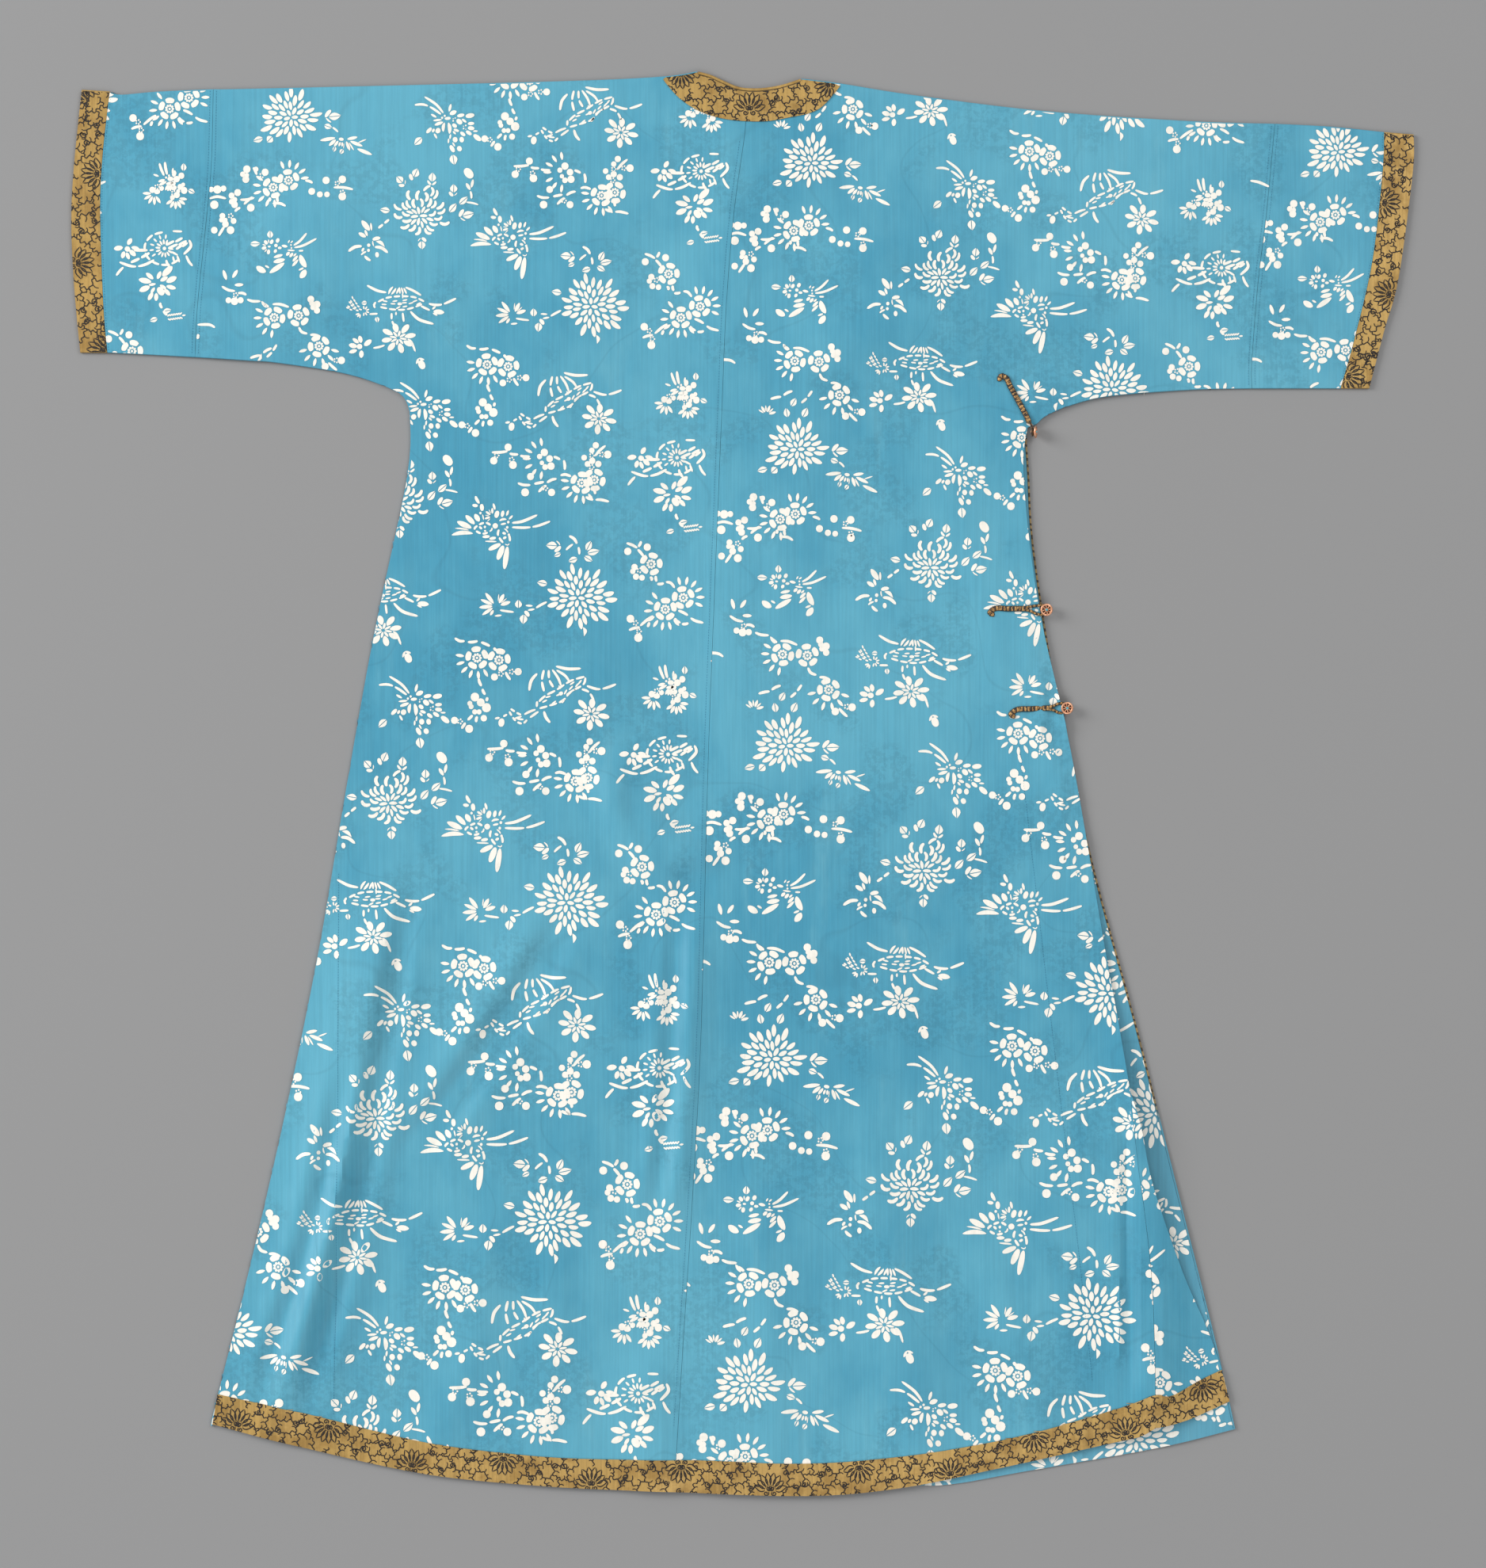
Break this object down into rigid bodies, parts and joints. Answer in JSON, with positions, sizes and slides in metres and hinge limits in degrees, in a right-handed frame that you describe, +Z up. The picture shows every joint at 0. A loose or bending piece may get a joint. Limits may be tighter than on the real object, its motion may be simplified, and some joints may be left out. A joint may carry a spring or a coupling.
{
  "type": "woven silk robe laid flat",
  "caption": "Chinese woman's side-fastening robe of printed light blue damask silk with gold and black brocade bands, laid flat on its front.",
  "frame": {"origin": "on the surface the robe lies on, under the middle of its box", "axes": "+X to the robe's right side, +Y towards the neck, +Z up from the surface, out of the back of the robe"},
  "size_m": [1.3214, 1.4006, 0.0132],
  "materials": {
    "silk": "light blue damask silk with a cream stencil print, soft sheen",
    "brocade": "old gold satin brocade with thin black outlines",
    "cord": "rolled gold and black brocade",
    "button": "rose gilt metal with a turquoise enamel centre"
  },
  "bodies": {
    "root": {"body_left": "silk", "body_right": "silk", "front_overlap": "silk", "sleeve_end_left": "silk", "sleeve_end_right": "silk", "side_gore_right": "silk", "neck_facing": "brocade", "neck_binding": "brocade", "cuff_band_left": "brocade", "cuff_band_right": "brocade", "hem_band": "brocade", "overlap_piping": "brocade", "frog_top": "cord", "frog_middle": "cord", "frog_low": "cord", "button_top": "button", "button_middle": "button", "button_low": "button"}
  },
  "joints": []
}
